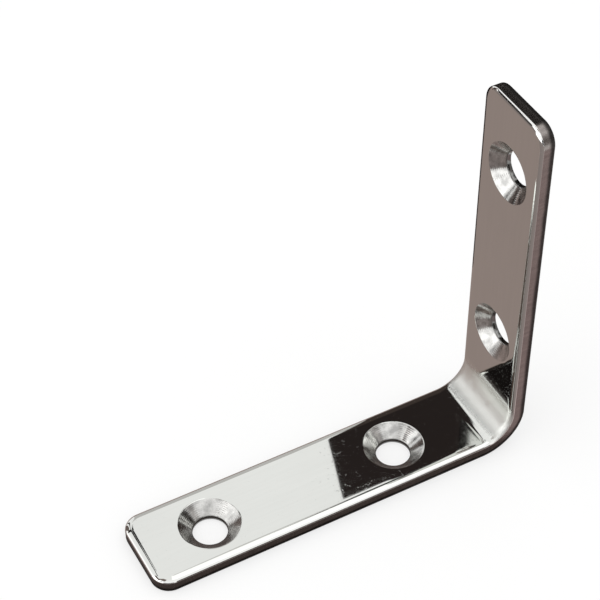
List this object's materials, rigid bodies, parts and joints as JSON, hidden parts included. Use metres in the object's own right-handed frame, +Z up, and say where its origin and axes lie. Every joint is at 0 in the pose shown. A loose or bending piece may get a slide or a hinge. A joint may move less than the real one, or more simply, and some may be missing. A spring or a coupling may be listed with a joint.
{
  "type": "corner brace bracket",
  "caption": "L-shaped corner brace bent from polished steel strip, with rounded ends and countersunk screw holes in both legs, for joining boards at a right angle.",
  "frame": {"origin": "outer corner, where the planes of the two outer faces meet, at the middle of the strip's width", "axes": "+X along the lying leg towards its free end, +Z up the standing leg, Y across the strip"},
  "size_m": [0.075, 0.017, 0.075],
  "materials": {
    "polished_steel": "mirror polished stainless steel"
  },
  "bodies": {
    "root": {"bracket": "polished_steel"}
  },
  "joints": []
}
